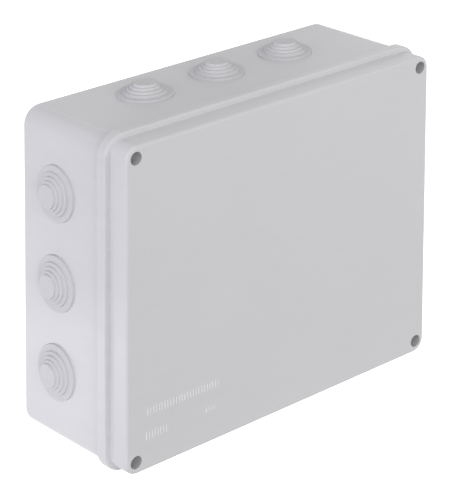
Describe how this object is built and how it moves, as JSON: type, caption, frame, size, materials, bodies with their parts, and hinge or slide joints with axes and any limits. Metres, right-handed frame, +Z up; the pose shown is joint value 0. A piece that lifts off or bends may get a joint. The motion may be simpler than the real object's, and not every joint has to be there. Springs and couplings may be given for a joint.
{
  "type": "electrical junction box",
  "caption": "Closed rectangular surface-mounting enclosure with a screwed cover seated on a flanged base, stepped cable-entry grommets on the side walls and deep corner screw recesses.",
  "frame": {"origin": "centre of the flat back face that lies against the wall", "axes": "+Z up, +X along the long side to the right seen from the front, +Y into the wall; the cover faces -Y"},
  "size_m": [0.3164, 0.123, 0.2668],
  "materials": {
    "housing": "moulded light grey plastic, fine spark texture",
    "cover": "moulded light grey plastic, satin",
    "grommet": "soft light grey moulded elastomer",
    "gasket": "black foamed seal",
    "screw": "zinc plated",
    "washer": "natural nylon",
    "insert": "turned brass",
    "cap": "soft grey plastic"
  },
  "bodies": {
    "housing": {"base_housing": "housing", "cable_grommet_top_1": "grommet", "cable_grommet_top_2": "grommet", "cable_grommet_top_3": "grommet", "cable_grommet_bottom_1": "grommet", "cable_grommet_bottom_2": "grommet", "cable_grommet_bottom_3": "grommet", "cable_grommet_left_1": "grommet", "cable_grommet_left_2": "grommet", "cable_grommet_left_3": "grommet", "cable_grommet_right_1": "grommet", "cable_grommet_right_2": "grommet", "cable_grommet_right_3": "grommet", "threaded_insert_top_left": "insert", "threaded_insert_top_right": "insert", "threaded_insert_bottom_left": "insert", "threaded_insert_bottom_right": "insert", "fixing_cap_top_left": "cap", "fixing_cap_top_right": "cap", "fixing_cap_bottom_left": "cap", "fixing_cap_bottom_right": "cap"},
    "cover": {"cover": "cover", "cover_gasket": "gasket"},
    "washer_top_left": {"screw_washer_top_left": "washer"},
    "screw_top_left": {"cover_screw_top_left": "screw"},
    "washer_top_right": {"screw_washer_top_right": "washer"},
    "screw_top_right": {"cover_screw_top_right": "screw"},
    "washer_bottom_left": {"screw_washer_bottom_left": "washer"},
    "screw_bottom_left": {"cover_screw_bottom_left": "screw"},
    "washer_bottom_right": {"screw_washer_bottom_right": "washer"},
    "screw_bottom_right": {"cover_screw_bottom_right": "screw"}
  },
  "joints": [
    {"name": "cover_lift", "type": "slide", "parent": "housing", "child": "cover", "axis": [0, -1, 0], "range_m": [0, 0.16]},
    {"name": "screw_travel_top_left", "type": "slide", "parent": "cover", "child": "washer_top_left", "axis": [0, -1, 0], "range_m": [0, 0.012]},
    {"name": "screw_turn_top_left", "type": "hinge", "parent": "washer_top_left", "child": "screw_top_left", "pos_m": [-0.1392, -0.105, 0.114], "axis": [0, -1, 0], "range_deg": [0, 6177.4]},
    {"name": "screw_travel_top_right", "type": "slide", "parent": "cover", "child": "washer_top_right", "axis": [0, -1, 0], "range_m": [0, 0.012]},
    {"name": "screw_turn_top_right", "type": "hinge", "parent": "washer_top_right", "child": "screw_top_right", "pos_m": [0.1392, -0.105, 0.114], "axis": [0, -1, 0], "range_deg": [0, 6177.4]},
    {"name": "screw_travel_bottom_left", "type": "slide", "parent": "cover", "child": "washer_bottom_left", "axis": [0, -1, 0], "range_m": [0, 0.012]},
    {"name": "screw_turn_bottom_left", "type": "hinge", "parent": "washer_bottom_left", "child": "screw_bottom_left", "pos_m": [-0.1392, -0.105, -0.114], "axis": [0, -1, 0], "range_deg": [0, 6177.4]},
    {"name": "screw_travel_bottom_right", "type": "slide", "parent": "cover", "child": "washer_bottom_right", "axis": [0, -1, 0], "range_m": [0, 0.012]},
    {"name": "screw_turn_bottom_right", "type": "hinge", "parent": "washer_bottom_right", "child": "screw_bottom_right", "pos_m": [0.1392, -0.105, -0.114], "axis": [0, -1, 0], "range_deg": [0, 6177.4]}
  ],
  "couplings": [
    {"joint": "screw_turn_top_left", "follows": "screw_travel_top_left", "rad_per_m": 8976},
    {"joint": "screw_turn_top_right", "follows": "screw_travel_top_right", "rad_per_m": 8976},
    {"joint": "screw_turn_bottom_left", "follows": "screw_travel_bottom_left", "rad_per_m": 8976},
    {"joint": "screw_turn_bottom_right", "follows": "screw_travel_bottom_right", "rad_per_m": 8976}
  ]
}
